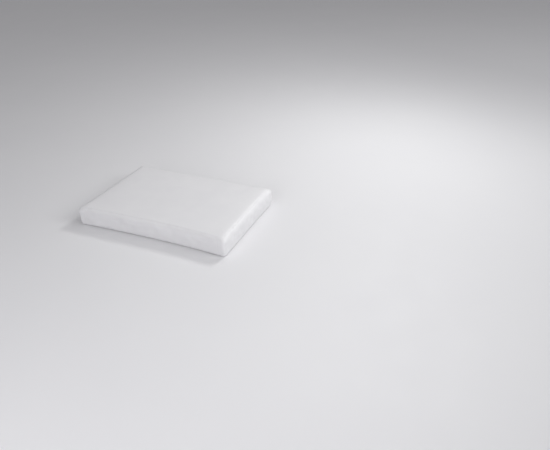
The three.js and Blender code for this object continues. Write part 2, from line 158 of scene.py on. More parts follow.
def seam_tuck(z):
    """How far the boxing lies inside its fullest line at height z."""
    level = np.clip((z - BASE_SEAM) / (TOP_SEAM - BASE_SEAM), 0, 1)
    over = np.clip(2 * level - 1, 0, 1)
    under = np.clip(1 - 2 * level, 0, 1)
    return TOP_TUCK * over ** TOP_CURL + BASE_TUCK * under ** BASE_CURL


# The boxing's face in section, from the base seam to the top seam: height, place in front of the
# fullest line, distance along the face, and the direction up the face.
SECTION_POINTS = 301
SECTION_Z = np.linspace(BASE_SEAM, TOP_SEAM, SECTION_POINTS)
SECTION_OUT = -seam_tuck(SECTION_Z)
SECTION_STEPS = np.hypot(np.diff(SECTION_Z), np.diff(SECTION_OUT))
SECTION_RUN = np.concatenate(([0], np.cumsum(SECTION_STEPS)))
AHEAD_UP = np.gradient(SECTION_Z, SECTION_RUN)
AHEAD_OUT = np.gradient(SECTION_OUT, SECTION_RUN)
FACE_LENGTH = SECTION_RUN[-1]


def run_at(z):
    return np.interp(z, SECTION_Z, SECTION_RUN)


def height_at(run):
    return np.interp(run, SECTION_RUN, SECTION_Z)


def lean(seam):
    """The angle between upright and the boxing's face where it meets a seam."""
    end = -1 if seam == TOP_SEAM else 0
    return math.atan2(abs(AHEAD_OUT[end]), AHEAD_UP[end])


def section(run, out):
    """A point `run` up the boxing's face and `out` off it: how far inside the fullest line the face
    is, how far out from there the point is, its height, and the direction square to the face. Beyond
    the seams the face runs straight on."""
    on = np.clip(run, 0, FACE_LENGTH)
    beyond = run - on
    ahead_up = np.interp(on, SECTION_RUN, AHEAD_UP)
    ahead_out = np.interp(on, SECTION_RUN, AHEAD_OUT)
    tuck = -np.interp(on, SECTION_RUN, SECTION_OUT) - ahead_out * beyond
    z = height_at(on) + ahead_up * beyond - ahead_out * out
    return tuck, ahead_up * out, z, ahead_up, -ahead_out


def drawn_in(x, y, tuck):
    """Plan points with the whole plan drawn in by a distance on every side."""
    return x * (1 - tuck / HALF_X), y * (1 - tuck / HALF_Y)


def beside(s, run, out):
    """A point `run` up the boxing's face and `out` off it, and the outward direction there."""
    s, run = np.broadcast_arrays(np.asarray(s, float), np.asarray(run, float))
    x, y, nx, ny = outline(s)
    dx, dy = pull(x, y, np.zeros_like(x))
    tuck, off, z, level, up = section(run, out)
    px, py = drawn_in(x, y, tuck)
    point = np.stack((px + nx * off + dx, py + ny * off + dy, z), -1)
    return point, np.stack((nx * level, ny * level, up), -1)


def face_point(s, z, out):
    """The same for a place on the face at height z."""
    return beside(s, run_at(z), out)


class Waves:
    """A smooth random wave round the outline, of about unit size, with waves of the given lengths."""

    def __init__(self, seed, longest, shortest, count=14):
        draw = np.random.default_rng(seed)
        low, high = PERIMETER / longest, PERIMETER / shortest
        self.turns = np.unique(np.round(draw.uniform(low, high, count)))
        self.phase = draw.uniform(0, 2 * math.pi, len(self.turns))

    def __call__(self, s):
        total = sum(
            np.sin(2 * math.pi * k * s / PERIMETER + p) for k, p in zip(self.turns, self.phase)
        )
        return total / math.sqrt(len(self.turns) / 2)


# Waves take a seed, then their longest and shortest wave in millimetres.
pucker = {TOP_SEAM: Waves(3, 17, 8), BASE_SEAM: Waves(4, 17, 8)}
pucker_size = {TOP_SEAM: Waves(5, 160, 45, 8), BASE_SEAM: Waves(6, 160, 45, 8)}
PUCKER = {TOP_SEAM: 0.15, BASE_SEAM: 0.06}  # height of the tucks
PUCKER_REACH = 4.5  # how fast they die away from a seam
BOXING_SWELL = 0.18  # height of the uneven fill between the seams
ridge_size = Waves(7, 220, 60, 8)
boxing_swell = Waves(8, 120, 35, 10)


def pucker_height(seam, s, distance):
    """Small tucks that run square to a seam and die away from it."""
    size = PUCKER[seam] * (1 + 0.5 * pucker_size[seam](s))
    return pucker[seam](s) * np.maximum(size, 0.02) * np.exp(-distance / PUCKER_REACH)


def at_front(x):
    """The place along the outline of a point of the front side."""
    return x


def at_right(y):
    return STRAIGHT_X / 2 + ARC + STRAIGHT_Y / 2 + y


def at_left(y):
    return -(STRAIGHT_X / 2 + ARC + STRAIGHT_Y / 2 + y)


# Long soft folds in the boxing: each end's place along the outline and its height, then the fold's half
# width and how far it stands out.
FOLDS = [
    (at_front(-170), 35.5, at_front(45), 34, 2.8, 1.5),
    (at_front(-95), 26, at_front(75), 30, 2.8, 0.5),
    (at_front(-130), 17, at_front(30), 20, 3.6, -0.45),
    (at_front(-155), 8, at_front(-30), 11, 3.0, 0.4),
    (at_front(60), 26, at_front(158), 22, 3.0, 0.4),
    (at_right(-100), 19, at_right(60), 22, 3.4, -0.4),
    (at_right(-60), 10, at_right(90), 9, 2.8, 0.35),
    (at_left(75), 26, at_left(-60), 21, 3.4, 0.45),
    (at_left(80), 12, at_left(-20), 16, 3.0, -0.4),
]


def fold_height(s, z):
    total = np.zeros_like(s)
    for s0, z0, s1, z1, half, height in FOLDS:
        across = np.mod(s - s0 + PERIMETER / 4, PERIMETER) - PERIMETER / 4
        t = across / (s1 - s0)
        off = z - (z0 + (z1 - z0) * t)
        fade = np.clip(np.minimum(t, 1 - t) * 4, 0, 1)
        total += height * fade * fade * (3 - 2 * fade) * np.exp(-((off / half) ** 2))
    return total


def allowance_ridge(s, below):
    """The turned-in edges behind the boxing lift it in a band under the seam, most at the front."""
    front = 0.5 + 0.5 * np.cos(2 * math.pi * (s + 90) / PERIMETER)
    size = 0.12 + 0.2 * front + 0.1 * ridge_size(s)
    step = 1 / (1 + np.exp((below - SEAM_ALLOWANCE) / 0.8))
    return size * step * (1 - np.exp(-below / 1.5))


def boxing_relief(s, z):
    """How far the boxing's face stands out from its plain form."""
    above = run_at(z)
    below = FACE_LENGTH - above
    relief = pucker_height(TOP_SEAM, s, below) + pucker_height(BASE_SEAM, s, above)
    relief += allowance_ridge(s, below) + 0.5 * allowance_ridge(s + 200, above)
    relief += fold_height(s, z)
    edge = np.clip(np.minimum(below, above) / 6, 0, 1)
    return relief + BOXING_SWELL * boxing_swell(s + 1.5 * z) * edge


# ---------------------------------------------------------------- meshes

def added(name, data):
    thing = bpy.data.objects.new(name, data)
    bpy.context.scene.collection.objects.link(thing)
    return thing


def smooth_shaded(mesh):
    mesh.polygons.foreach_set("use_smooth", [True] * len(mesh.polygons))


def mesh_from(name, points, faces):
    mesh = bpy.data.meshes.new(name)
    mesh.from_pydata((np.asarray(points) * MM).tolist(), [], faces)
    mesh.validate()
    smooth_shaded(mesh)
    mesh.update()
    return added(name, mesh)


def grid_faces(rows, columns, first=0, closed=False):
    """Quads of a grid whose points are listed row by row."""
    faces = []
    for i in range(rows - 1):
        for j in range(columns if closed else columns - 1):
            k = (j + 1) % columns
            a, b = first + i * columns + j, first + i * columns + k
            faces.append((a, b, b + columns, a + columns))
    return faces


def thicken(piece, thickness):
    solid = piece.modifiers.new("thickness", "SOLIDIFY")
    solid.thickness = thickness * MM
    solid.offset = -1
    solid.use_even_offset = False
    return piece


def outward(piece):
    """Turns the faces of an open sheet away from the middle of the cushion."""
    mesh = piece.data
    centre = Vector((0, 0, (TOP_SEAM + BASE_SEAM) / 2 * MM))
    facing = sum((p.center - centre).dot(p.normal) * p.area for p in mesh.polygons)
    if facing < 0:
        mesh.flip_normals()
    return piece


def edge_attribute(piece, distance):
    """Stores how close each point is to a seam, for the materials."""
    near = piece.data.attributes.new("near_seam", "FLOAT", "POINT")
    close = np.exp(-np.maximum(distance, 0) / 2.2)
    near.data.foreach_set("value", close.astype(np.float32))


# ---------------------------------------------------------------- turned edges

def panel_edge(seam):
    """A panel's edge as (depth, distance beyond the seam) from the dome to the end of its lip: round
    the folded edge, in over the boxing's fold, and down behind it."""
    r = PANEL_ROLL
    low = SEAM_HALF_GAP
    slope = lean(seam) + (TOP_SLOPE if seam == TOP_SEAM else BASE_SLOPE)
    points = []
    for i in range(9):
        a = slope + (math.pi - slope) * i / 8
        points.append((SEAM_DIP * (1 - math.sin(a)), low + r + r * math.cos(a)))
    bend = LIP_BEND
    for i in range(4):
        a = math.pi / 2 * i / 3
        points.append((LIP_DEPTH - bend + bend * math.sin(a), low - bend + bend * math.cos(a)))
    points.append((LIP_DEPTH, -LIP / 2))
    points.append((LIP_DEPTH, -LIP))
    return np.array(points)


def beyond_seam(seam, distance):
    """The place up the boxing's face of a point beyond a seam, or short of it if negative."""
    return FACE_LENGTH + distance if seam == TOP_SEAM else -distance


def panel_rim(seam):
    """Where a panel's dome starts: how far the boxing's face is tucked in there, how far inside the
    face it is, and how far above or below the seam."""
    depth, distance = panel_edge(seam)[0]
    tuck, off, z = section(beyond_seam(seam, distance), -depth)[:3]
    return tuck, -off, abs(z - seam)


TOP_RIM_RISE = panel_rim(TOP_SEAM)[2]
BASE_RIM_DROP = panel_rim(BASE_SEAM)[2]


def boxing_edge():
    """A boxing edge as (depth, distance from the seam), from the face to the end of its hem."""
    r = BOXING_ROLL
    low = SEAM_HALF_GAP
    points = []
    for i in range(1, 7):
        a = math.pi / 2 + math.pi / 2 * i / 6
        points.append((SEAM_DIP * (1 - math.sin(a)), low + r + r * math.cos(a)))
    bend = HEM_BEND
    for i in range(5):
        a = math.pi / 2 * i / 4
        points.append((HEM_DEPTH - bend + bend * math.sin(a), low + bend - bend * math.cos(a)))
    points.append((HEM_DEPTH, LIP / 2))
    points.append((HEM_DEPTH, LIP))
    return np.array(points)


# ---------------------------------------------------------------- panels

EDGE_LINES = np.array([0, 0.7, 1.6, 2.7, 4.0, 5.5, RADIUS, 9.2, 11.4, 14.0])  # from a panel's edge
FLAT_STEP = 4.5


def grid_lines(half):
    """Grid line places from -half to half, close together at the edges."""
    inner = half - EDGE_LINES[-1]
    steps = int(round(2 * inner / FLAT_STEP))
    middle = np.linspace(-inner, inner, steps + 1)[1:-1]
    return np.concatenate((-half + EDGE_LINES, middle, half - EDGE_LINES[::-1]))


def panel_plan():
    """Plan points of a panel's grid, square zones at its corners turned into quarter discs, and the
    distance of each point from the edge."""
    x, y = np.meshgrid(grid_lines(HALF_X), grid_lines(HALF_Y), indexing="ij")
    inward = np.minimum(HALF_X - abs(x), HALF_Y - abs(y))
    over_x = np.maximum(abs(x) - (HALF_X - RADIUS), 0)
    over_y = np.maximum(abs(y) - (HALF_Y - RADIUS), 0)
    corner = (over_x > 1e-6) & (over_y > 1e-6)
    shrink = np.where(corner, np.maximum(over_x, over_y) / np.maximum(np.hypot(over_x, over_y), 1e-9), 1)
    x = np.where(corner, np.sign(x) * (HALF_X - RADIUS + over_x * shrink), x)
    y = np.where(corner, np.sign(y) * (HALF_Y - RADIUS + over_y * shrink), y)
    return x, y, inward


def place_on_outline(x, y):
    """The outline place nearest to each plan point, found on the nearest side or corner."""
    cx = np.clip(x, -(HALF_X - RADIUS), HALF_X - RADIUS)
    cy = np.clip(y, -(HALF_Y - RADIUS), HALF_Y - RADIUS)
    in_corner = (abs(x) > HALF_X - RADIUS) & (abs(y) > HALF_Y - RADIUS)
    turn = np.arctan2(y - cy, x - cx)
    gap_x, gap_y = HALF_X - abs(x), HALF_Y - abs(y)
    side = np.where(gap_y < gap_x, np.where(y < 0, 0, 2), np.where(x > 0, 1, 3))
    along = np.select([side == 0, side == 1, side == 2, side == 3], [x, y, -x, -y])
    half_x, half_y = STRAIGHT_X / 2, STRAIGHT_Y / 2
    first_corner = half_x
    second_corner = first_corner + ARC + STRAIGHT_Y
    third_corner = second_corner + ARC + STRAIGHT_X
    last_corner = third_corner + ARC + STRAIGHT_Y
    middles = np.array([0, second_corner - half_y, third_corner - half_x, last_corner - half_y])
    limit = np.where(side % 2 == 0, half_x, half_y)
    s = middles[side] + np.clip(along, -limit, limit)
    corners = [(x > 0) & (y < 0), (x > 0) & (y > 0), (x < 0) & (y > 0)]
    corner_start = np.select(corners, [first_corner, second_corner, third_corner], last_corner)
    first_angle = np.select(corners, [-90, 0, 90], 180)
    turned = np.mod(turn - np.radians(first_angle) + 0.01, 2 * math.pi) - 0.01
    return np.where(in_corner, corner_start + RADIUS * turned, s)


def plateau(w, power):
    return 1 - np.abs(w) ** power


def dome_rise(x, y, away):
    """Height of the top panel above the start of its dome, `away` from there."""
    puff = EDGE_PUFF * math.tan(TOP_SLOPE)
    crown = TOP - TOP_SEAM - TOP_RIM_RISE - puff
    swell = plateau(x / HALF_X, 6) * plateau(y / HALF_Y, 4)
    return puff * (1 - np.exp(-away / EDGE_PUFF)) + crown * swell


def base_rise(x, y, away):
    """How far the base panel has come down from its folded edge, until it lies flat. It depends only
    on the distance from the edge, but is called like dome_rise."""
    drop = BASE_SEAM - BASE_RIM_DROP
    power = BASE_REACH * math.tan(BASE_SLOPE) / drop
    return drop * (1 - (1 - np.clip(away / BASE_REACH, 0, 1)) ** power)


top_dents = [Waves(31 + k, 190, 70, 6) for k in range(2)]
TOP_DENT = 0.06  # size of the top panel's shallow dents
TOP_SINK = 0.12  # how far it lies below its plain form between them


def panel_surface(seam, outwards, rise):
    """A panel's face on its grid: its points, each one's place along the outline and distance from the
    fold, and the relief on it."""
    tuck, inset, rim_rise = panel_rim(seam)
    x, y, inward = panel_plan()
    s = place_on_outline(x, y)
    fold = inset * np.clip(1 - inward / RADIUS, 0, 1)
    away = inward + fold - inset
    relief = pucker_height(seam, s, away * 1.1)
    if outwards > 0:
        dents = top_dents[0](x * 1.3 + 0.4 * y) * top_dents[1](y * 1.7 - 0.5 * x)
        relief = relief + (TOP_DENT * dents - TOP_SINK) * np.clip(away / 25, 0, 1)
    else:
        relief = relief * np.clip(1 - away / 15, 0, 1)
    z = seam + outwards * (rim_rise + rise(x, y, away) + relief)
    nx, ny = outline(s)[2:]
    dx, dy = pull(x, y, inward)
    px, py = drawn_in(x, y, tuck)
    px, py = px - nx * fold + dx, py - ny * fold + dy
    if outwards < 0:
        z = np.maximum(z, 0)
    return np.stack((px, py, z), -1), s, away, relief


def rim_of_grid(rows, columns):
    """The outermost grid points of a panel, in order round it."""
    return (
        [(i, 0) for i in range(rows)]
        + [(rows - 1, j) for j in range(1, columns)]
        + [(i, columns - 1) for i in range(rows - 2, -1, -1)]
        + [(0, j) for j in range(columns - 2, 0, -1)]
    )


def face_panel(name, seam, outwards, rise):
    """The top or base panel, with rings that carry its edge round its fold and in behind the boxing."""
    surface, s, away, relief = panel_surface(seam, outwards, rise)
    rows, columns = away.shape
    points = [surface.reshape(-1, 3)]
    distance = [away.ravel()]
    faces = grid_faces(rows, columns)
    loop = rim_of_grid(rows, columns)
    ring_s = np.array([s[i, j] for i, j in loop])
    ring_relief = np.array([relief[i, j] for i, j in loop])
    last_ring = [i * columns + j for i, j in loop]
    for k, (depth, up) in enumerate(panel_edge(seam)[1:]):
        keep = max(0.0, 1 - k / 5)
        first = sum(len(p) for p in points)
        points.append(beside(ring_s, beyond_seam(seam, up + ring_relief * keep), -depth)[0])
        distance.append(np.full(len(loop), 0.0 if depth < 1.5 else -1.0))
        ring = list(range(first, first + len(loop)))
        for a in range(len(loop)):
            b = (a + 1) % len(loop)
            faces.append((last_ring[a], last_ring[b], ring[b], ring[a]))
        last_ring = ring
    distance = np.concatenate(distance)
    points = settled(np.concatenate(points), distance, TAUT)
    if outwards < 0:
        points[:, 2] = np.maximum(points[:, 2], 0)
    piece = mesh_from(name, points, faces)
    same_way(piece)
    edge_attribute(piece, distance)
    return thicken(piece, SHEET)


def same_way(piece):
    """Gives the faces one winding, outward."""
    bm = bmesh.new()
    bm.from_mesh(piece.data)
    bmesh.ops.recalc_face_normals(bm, faces=bm.faces)
    bm.to_mesh(piece.data)
    bm.free()
    outward(piece)


# ---------------------------------------------------------------- boxing

def rows_between(low, high):
    """Rows of a boxing strip as (height on the face, depth): the low hem and fold, the face, the high
    fold and hem."""
    edge = boxing_edge()
    first, last = run_at(low), run_at(high)
    rows = [(first + up, depth) for depth, up in edge[::-1]]
    start = BOXING_ROLL + SEAM_HALF_GAP
    steps = [0, 0.7, 1.5, 2.6, 4.0, 5.5, 7.0]
    lower, upper = first + start, last - start
    face = [lower + d for d in steps if lower + d < (lower + upper) / 2]
    mid = [upper - d for d in steps if upper - d > (lower + upper) / 2][::-1]
    count = max(1, int((mid[0] - face[-1]) / 1.6))
    face += list(np.linspace(face[-1], mid[0], count + 1)[1:-1]) + mid
    rows += [(run, 0.0) for run in face]
    rows += [(last - up, depth) for depth, up in edge]
    return np.array([(height_at(run), depth) for run, depth in rows])


def columns_between(s0, s1, step):
    """Places along the outline from s0 to s1, close together by the upright seams at both ends."""
    near = np.array([0, 0.15, 0.35, 0.6, 1.2, 2.4, 4.5])
    inner = np.linspace(s0 + near[-1], s1 - near[-1], max(2, int((s1 - s0 - 2 * near[-1]) / step)))
    return np.concatenate((s0 + near[:-1], inner, (s1 - near[:-1])[::-1]))


STRIP_STEP = 2.8  # spacing of a strip's columns
FINE_STEP = 1.2  # and of those that go round the corners


def boxing_strip(name, s0, s1, low=BASE_SEAM, high=TOP_SEAM, step=STRIP_STEP):
    """A strip of boxing between two upright seams and two level ones, each edge turned in."""
    gap = SEAM_HALF_GAP
    rows = rows_between(low, high)
    places = columns_between(s0 + gap, s1 - gap, step)
    nearest = np.minimum(places - (s0 + gap), (s1 - gap) - places)
    r = UPRIGHT_ROLL
    side_depth = np.where(nearest < r, r - np.sqrt(np.maximum(r * r - (r - nearest) ** 2, 0)), 0)
    places = np.concatenate(([places[0]], places, [places[-1]]))
    side_depth = np.concatenate(([HEM_DEPTH], side_depth, [HEM_DEPTH]))
    nearest = np.concatenate(([0], nearest, [0]))
    s, z = np.meshgrid(places, rows[:, 0], indexing="ij")
    depth = rows[:, 1][None, :] * np.ones_like(s)
    depth = depth + side_depth[:, None] * (1 - depth / HEM_DEPTH)
    relief = boxing_relief(s, z)
    relief = relief * np.clip(1 - depth / HEM_DEPTH, 0, 1)
    relief = relief + stitch_channels(s, z) * (depth < 0.1)
    run = run_at(z)
    level = np.minimum(run - run_at(low), run_at(high) - run)
    distance = np.minimum(level, nearest[:, None])
    distance = np.where(depth > 1.5, -1.0, distance).ravel()
    points = settled(face_point(s, z, relief - depth)[0].reshape(-1, 3), distance)
    piece = mesh_from(name, points, grid_faces(*s.shape))
    same_way(piece)
    edge_attribute(piece, np.where(distance < 0, -1, level.ravel()))
    return thicken(piece, SHEET)


REAR_MIDDLE = PERIMETER / 2


def at_rear(x):
    return REAR_MIDDLE - x


FURROW_DEPTH = 0.45
FURROW_WIDTH = 0.9


def furrow(off):
    return -FURROW_DEPTH * np.exp(-((off / FURROW_WIDTH) ** 2))


def stitch_channels(s, z):
    """The shallow furrows that the rows of stitching beside the zip pull into the boxing."""
    x = REAR_MIDDLE - np.mod(s, PERIMETER)
    rear = np.abs(x) < CORNER_SEAM_X
    beside_zip = (np.abs(x) < END_TAB_EDGE) & rear
    off_row = np.abs(np.abs(z - ZIP_Z) - ZIP_STITCH)
    off_tab = np.abs(np.abs(x) - TAB_STITCH_X)
    return np.where(beside_zip, furrow(off_row), 0) + np.where(rear & ~beside_zip, furrow(off_tab), 0)


def make_cover():
    """The cover's pieces by the CAD node that each stands for."""
    seam, edge = CORNER_SEAM_X, END_TAB_EDGE
    above_zip, below_zip = ZIP_Z + ZIP_FOLD, ZIP_Z - ZIP_FOLD
    end = at_front(-seam) + PERIMETER
    strips = {
        "front_boxing": (at_front(-seam), at_front(seam), {}),
        "right_boxing": (at_front(seam), at_rear(seam), {"step": FINE_STEP}),
        "left_boxing": (at_rear(-seam), end, {"step": FINE_STEP}),
        "rear_end_tab_right": (at_rear(seam), at_rear(edge), {}),
        "rear_end_tab_left": (at_rear(-edge), at_rear(-seam), {}),
        "rear_boxing_upper": (at_rear(edge), at_rear(-edge), {"low": above_zip}),
        "rear_boxing_lower": (at_rear(edge), at_rear(-edge), {"high": below_zip}),
    }
    pieces = {
        "top_panel": face_panel("cover_top_panel", TOP_SEAM, 1, dome_rise),
        "base_panel": face_panel("cover_base_panel", BASE_SEAM, -1, base_rise),
    }
    for node, (start, stop, how) in strips.items():
        pieces[node] = boxing_strip(f"cover_{node}", start, stop, **how)
    return pieces


# ---------------------------------------------------------------- settling of the filled cover

CAGE_STEP = 5.0  # spacing of the points that the simulation moves
CAGE_ROWS = 9  # up the boxing
SLACK = 1.012  # the sheet is cut this much longer than the form, so it buckles into soft folds
MOST_SETTLE = 1.6  # a point moves no further than this
PIN_REACH = 3.5  # points this close to a seam are held
SETTLE_FRAMES = 20
CLOTH = {
    "quality": 6,
    "mass": 0.4,
    "tension_stiffness": 25,
    "compression_stiffness": 25,
    "shear_stiffness": 15,
    "bending_stiffness": 1.5,
    "use_pressure": True,
    "uniform_pressure_force": 3.0,
    "vertex_group_mass": "held",
    "shrink_min": 1 - SLACK,
}
SWELL_NEIGHBOURS = 60  # the swelling that a point shares is taken over this many neighbours
SWELL_REMOVED = 0.8  # share of that swelling that is taken out again


def cage_points():
    """Places along the outline, and the boxing's face as one coarse ring of points per row."""
    count = int(PERIMETER / CAGE_STEP)
    s = PERIMETER * np.arange(count) / count
    points = []
    for run in np.linspace(0, FACE_LENGTH, CAGE_ROWS):
        points.append(beside(s, run, 0.0)[0])
    return s, points


def closed_form():
    """The cage as a mesh: boxing rings, then rings that close over the top and under the base."""
    s, boxing = cage_points()
    count = len(s)
    insets = np.concatenate(([2.5], np.arange(7, HALF_Y - 4, CAGE_STEP), [HALF_Y - 2]))
    x, y, nx, ny = outline(s)

    def ring(inset, rise, seam, outwards):
        tuck, fold, rim_rise = panel_rim(seam)
        dx, dy = pull(x, y, np.full(count, tuck + inset))
        share = 1 - inset / HALF_Y
        px, py = drawn_in(x, y, tuck)
        px = (px - nx * fold) * share + dx
        py = (py - ny * fold) * share + dy
        z = seam + outwards * (rim_rise + rise(px, py, np.full(count, inset)))
        return np.stack((px, py, np.maximum(z, 0)), -1)

    base = [ring(i, base_rise, BASE_SEAM, -1) for i in insets[::-1]]
    top = [ring(i, dome_rise, TOP_SEAM, 1) for i in insets]
    rings = base + boxing + top
    points = np.concatenate(rings)
    faces = grid_faces(len(rings), count, 0, closed=True)
    last = (len(rings) - 1) * count
    faces.append(tuple(range(count - 1, -1, -1)))
    faces.append(tuple(range(last, last + count)))
    return mesh_from("settling", points, faces)


def hold(cage, rest):
    """Holds the cage at its seams, on its underside and along the zip."""
    seam = np.minimum(np.abs(rest[:, 2] - TOP_SEAM), np.abs(rest[:, 2] - BASE_SEAM))
    edge = np.minimum(HALF_X - np.abs(rest[:, 0]), HALF_Y - np.abs(rest[:, 1])) < TOP_TUCK + 4
    held = (seam < PIN_REACH) & edge
    held |= rest[:, 2] < 1.5
    held |= (rest[:, 1] > HALF_Y - 9) & (rest[:, 2] < TOP_SEAM)
    group = cage.vertex_groups.new(name="held")
    group.add([int(i) for i in np.flatnonzero(held)], 1.0, "REPLACE")


def points_mm(mesh):
    points = np.empty(len(mesh.vertices) * 3)
    mesh.vertices.foreach_get("co", points)
    return points.reshape(-1, 3) / MM


def settle_cover():
    """Inflates the form a little inside its held seams with cloth simulation, and returns where its
    points were and how they moved."""
    cage = closed_form()
    remesh = cage.modifiers.new("even", "REMESH")
    remesh.mode = "VOXEL"
    remesh.voxel_size = CAGE_STEP * MM
    depsgraph = bpy.context.evaluated_depsgraph_get()
    even = bpy.data.meshes.new_from_object(cage.evaluated_get(depsgraph))
    cage.modifiers.clear()
    cage.data = even
    rest = points_mm(even)
    hold(cage, rest)
    cloth = cage.modifiers.new("cloth", "CLOTH")
    for key, value in CLOTH.items():
        setattr(cloth.settings, key, value)
    cloth.settings.effector_weights.gravity = 0
    cloth.collision_settings.use_collision = False
    cloth.point_cache.frame_start = 1
    cloth.point_cache.frame_end = SETTLE_FRAMES
    for step in range(1, SETTLE_FRAMES + 1):
        bpy.context.scene.frame_set(step)
    depsgraph = bpy.context.evaluated_depsgraph_get()
    moved = points_mm(cage.evaluated_get(depsgraph).to_mesh())
    bpy.data.objects.remove(cage)
    bpy.context.scene.frame_set(1)
    return rest, moved - rest


class Settling:
    """The simulated movement of the cover, without the swelling that all of it shares."""

    def __init__(self):
        rest, move = settle_cover()
        self.tree = KDTree(len(rest))
        for i, point in enumerate(rest):
            self.tree.insert(point, i)
        self.tree.balance()
        shared = []
        for point in rest:
            near = [i for _, i, _ in self.tree.find_n(point, SWELL_NEIGHBOURS)]
            shared.append(move[near].mean(0))
        self.move = self.limited(move - SWELL_REMOVED * np.array(shared))

    def limited(self, move):
        size = np.maximum(np.linalg.norm(move, axis=1, keepdims=True), 1e-9)
        return move / size * MOST_SETTLE * np.tanh(size / MOST_SETTLE)

    def __call__(self, points):
        result = np.zeros_like(points)
        for k, point in enumerate(points):
            near = self.tree.find_n(point, 8)
            weight = np.array([math.exp(-((d / 3.5) ** 2)) for _, _, d in near])
            result[k] = weight @ self.move[[i for _, i, _ in near]] / max(weight.sum(), 1e-9)
        return result


settling = Settling()

SLACK_SHARE = 0.6  # share of the simulated folds that the boxing shows
TAUT = 0.07  # share of the simulated folds that the panels show, drawn flat over the foam


def settled(points, distance, share=SLACK_SHARE):
    """Cover points moved as the simulation moved the form, less and less towards the seams."""
    if settling is None:
        return points
    fade = np.clip(np.asarray(distance) / 5, 0, 1)
    fade = share * fade * fade * (3 - 2 * fade)
    return points + settling(points) * fade[:, None]


# ---------------------------------------------------------------- stitches

STITCH = 3.0  # length of a stitch
THREAD = 0.23  # radius of the thread
STITCH_RINGS = 6
THREAD_SIDES = 6


def tube_rings(centres, radii, first_axis, second_axis, sides):
    """Points of rings about the centres, in the plane of two unit axes."""
    turn = 2 * math.pi * np.arange(sides) / sides
    ring = np.cos(turn)[None, :, None] * first_axis[:, None, :]
    ring = ring + np.sin(turn)[None, :, None] * second_axis[:, None, :]
    return centres[:, None, :] + radii[:, None, None] * ring


def tube_faces(rings, sides, first):
    """Side quads of one tube and a cap at each end."""
    faces = grid_faces(rings, sides, first, closed=True)
    last = first + (rings - 1) * sides
    faces.append(tuple(range(first + sides - 1, first - 1, -1)))
    faces.append(tuple(range(last, last + sides)))
    return faces


def unit(v):
    return v / np.maximum(np.linalg.norm(v, axis=-1, keepdims=True), 1e-9)


def stitch_row(name, place, length):
    """A row of stitches along a path. place gives the thread's middle and the outward direction at
    distances along it. Each stitch rises a little and dips into the sheet at both ends."""
    count = max(1, int(round(length / STITCH)))
    pitch = length / count
    u = np.linspace(0, 1, STITCH_RINGS)
    lift = np.sin(math.pi * u)
    points, faces = [], []
    for k in range(count):
        along = (k + 0.07 + 0.86 * u) * pitch
        middle, out = place(along)
        ahead = unit(np.gradient(middle, axis=0))
        side = unit(np.cross(ahead, out))
        middle = middle + out * (THREAD * 1.1 * (lift - 1))[:, None]
        rings = tube_rings(middle, THREAD * (0.55 + 0.45 * lift), out, side, THREAD_SIDES)
        faces += tube_faces(STITCH_RINGS, THREAD_SIDES, len(points) * STITCH_RINGS * THREAD_SIDES)
        points.append(rings.reshape(-1, 3))
    return mesh_from(name, np.concatenate(points), faces)


def level_row(s0, z, out):
    """A path along the outline from s0 at one height."""
    return lambda along: face_point(s0 + along, z, out)


def upright_row(s, run, out):
    """A path up the boxing's face."""
    return lambda along: beside(s, run + along, out)


SEAM_THREAD_DEPTH = 0.8  # how deep in its seam a thread lies
SEAM_END = 1.5  # the upright seams stop this short of the level ones


def in_furrow(s, z):
    """A point of a row of stitching that lies on the boxing, in the furrow that it pulls."""
    s, z = np.broadcast_arrays(np.asarray(s, float), np.asarray(z, float))
    return face_point(s, z, boxing_relief(s, z) + stitch_channels(s, z) + 0.8 * THREAD)


def furrow_row(s0, z):
    """A path in a furrow along the outline from s0."""
    return lambda along: in_furrow(s0 + along, z)


def furrow_column(s, z0):
    """A path in a furrow straight up from the height z0."""
    return lambda along: in_furrow(s, z0 + along)


def make_stitches():
    """The rows of stitching by the CAD node that each stands for."""
    rows = {}
    for node, seam in (("top_seam_thread", TOP_SEAM), ("base_seam_thread", BASE_SEAM)):
        name = node.replace("_thread", "")
        rows[node] = stitch_row(f"stitches_{name}", level_row(0, seam, -SEAM_THREAD_DEPTH), PERIMETER)
    corners = {
        "front_left": at_front(-CORNER_SEAM_X),
        "front_right": at_front(CORNER_SEAM_X),
        "rear_left": at_rear(-CORNER_SEAM_X),
        "rear_right": at_rear(CORNER_SEAM_X),
    }
    for corner, s in corners.items():
        path = upright_row(s, SEAM_END, -SEAM_THREAD_DEPTH)
        length = FACE_LENGTH - 2 * SEAM_END
        rows[f"corner_thread_{corner}"] = stitch_row(f"stitches_corner_{corner}", path, length)
    run = 2 * END_TAB_EDGE - 2
    for place, side in (("upper", 1), ("lower", -1)):
        path = furrow_row(at_rear(END_TAB_EDGE - 1), ZIP_Z + side * ZIP_STITCH)
        rows[f"zip_stitching_{place}"] = stitch_row(f"stitches_zip_{place}", path, run)
    for hand, side in (("left", -1), ("right", 1)):
        lo, hi = box_mm(f"end_tab_stitching_{hand}")
        path = furrow_column(at_rear(side * TAB_STITCH_X), lo[2])
        rows[f"end_tab_stitching_{hand}"] = stitch_row(f"stitches_end_tab_{hand}", path, hi[2] - lo[2])
    return rows


# ---------------------------------------------------------------- zip

COIL_PITCH = 1.4
COIL_WIRE = 0.33  # radius of the wire
COIL_SIDES = 6
COIL_HEAD = -0.55  # each row's turns reach this far past the chain's middle
COIL_SQUARENESS = 0.82  # flattens the turns towards a rounded rectangle
TURN_STEPS = 12
TAPE_THICKNESS = 0.45
STOP_EDGE = 0.45  # edge rounding of each casting
SLIDER_EDGE = 0.22
TAB_EDGE = 0.3


